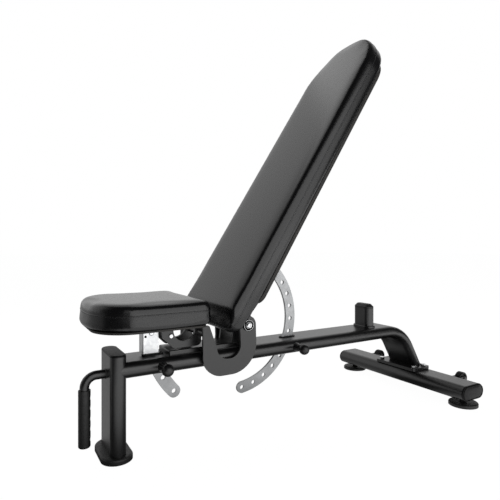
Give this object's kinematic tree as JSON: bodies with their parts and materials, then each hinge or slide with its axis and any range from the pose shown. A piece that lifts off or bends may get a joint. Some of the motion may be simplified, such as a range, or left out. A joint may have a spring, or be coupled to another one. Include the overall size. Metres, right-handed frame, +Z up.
{
  "type": "adjustable weight bench",
  "caption": "Adjustable weight bench with pin-locked seat and backrest on one pivot, flat-oval steel frame, carry handle, levelling feet and transport wheels.",
  "frame": {"origin": "middle of the front post's footprint, on the floor", "axes": "+X runs to the rear of the bench, +Y to the side away from the lock pins, +Z up"},
  "size_m": [1.3487, 0.629, 1.3185],
  "materials": {
    "black_powder_coat": "satin",
    "black_plastic": "matte",
    "knob_plastic": "gloss",
    "black_rubber": "matte",
    "steel": "brushed",
    "bright_bolts": "polished",
    "plywood": "black stained",
    "upholstery": "satin grain"
  },
  "bodies": {
    "frame": {"front_foot_shoe": "black_rubber", "front_post": "black_powder_coat", "post_cap": "black_plastic", "handle_tube": "black_powder_coat", "handle_grip": "black_rubber", "main_beam": "black_powder_coat", "seat_slot_trim": "black_plastic", "back_slot_trim": "black_plastic", "hinge_base": "black_powder_coat", "upright_near": "black_powder_coat", "upright_far": "black_powder_coat", "pivot_shaft": "steel", "pivot_bolts": "bright_bolts", "bumper_post": "black_powder_coat", "bumper_base_ring": "black_powder_coat", "bumper_cap": "black_rubber", "rear_stabilizer": "black_powder_coat", "end_plug_near": "black_plastic", "end_plug_far": "black_plastic", "flange_plate": "black_powder_coat", "flange_bolts": "bright_bolts", "foot_stems": "black_powder_coat", "rear_foot_near": "black_rubber", "rear_foot_far": "black_rubber", "wheel_bracket_near": "black_powder_coat", "wheel_bracket_far": "black_powder_coat", "wheel_axles": "black_powder_coat", "seat_pin_housing": "black_powder_coat", "back_pin_housing": "black_powder_coat"},
    "seat": {"seat_pad": "upholstery", "seat_board": "plywood", "seat_side_plate_near": "black_powder_coat", "seat_side_plate_far": "black_powder_coat", "seat_cross_tube": "black_powder_coat", "hinge_plate_near": "black_powder_coat", "hinge_plate_far": "black_powder_coat", "hinge_bush_near": "black_plastic", "hinge_bush_far": "black_plastic", "seat_arc_bracket": "steel", "seat_arc": "steel", "seat_bolts": "bright_bolts"},
    "backrest": {"back_pad": "upholstery", "back_board": "plywood", "back_rail_near": "black_powder_coat", "back_rail_far": "black_powder_coat", "back_cheek_near": "black_powder_coat", "back_cheek_far": "black_powder_coat", "back_bush_near": "black_plastic", "back_bush_far": "black_plastic", "arc_mount": "black_powder_coat", "rest_plate": "black_powder_coat", "back_arc": "steel", "back_bolts": "bright_bolts"},
    "seat_pin": {"seat_pin_plunger": "steel", "seat_pin_knob": "knob_plastic"},
    "back_pin": {"back_pin_plunger": "steel", "back_pin_knob": "knob_plastic"},
    "near_wheel": {"transport_wheel_near": "black_plastic"},
    "far_wheel": {"transport_wheel_far": "black_plastic"}
  },
  "joints": [
    {"name": "seat_tilt", "type": "hinge", "parent": "frame", "child": "seat", "pos_m": [0.372, 0, 0.325], "axis": [0, 1, 0], "range_deg": [0, 23]},
    {"name": "back_recline", "type": "hinge", "parent": "frame", "child": "backrest", "pos_m": [0.372, 0, 0.325], "axis": [0, 1, 0], "range_deg": [-23, 57.5]},
    {"name": "seat_pin_pull", "type": "slide", "parent": "frame", "child": "seat_pin", "axis": [0, -1, 0], "range_m": [-0.008, 0.003]},
    {"name": "back_pin_pull", "type": "slide", "parent": "frame", "child": "back_pin", "axis": [0, -1, 0], "range_m": [-0.008, 0.003]},
    {"name": "near_wheel_spin", "type": "hinge", "parent": "frame", "child": "near_wheel", "pos_m": [1.23375, -0.2, 0.062], "axis": [0, 1, 0], "continuous": true},
    {"name": "far_wheel_spin", "type": "hinge", "parent": "frame", "child": "far_wheel", "pos_m": [1.23375, 0.2, 0.062], "axis": [0, 1, 0], "continuous": true}
  ]
}
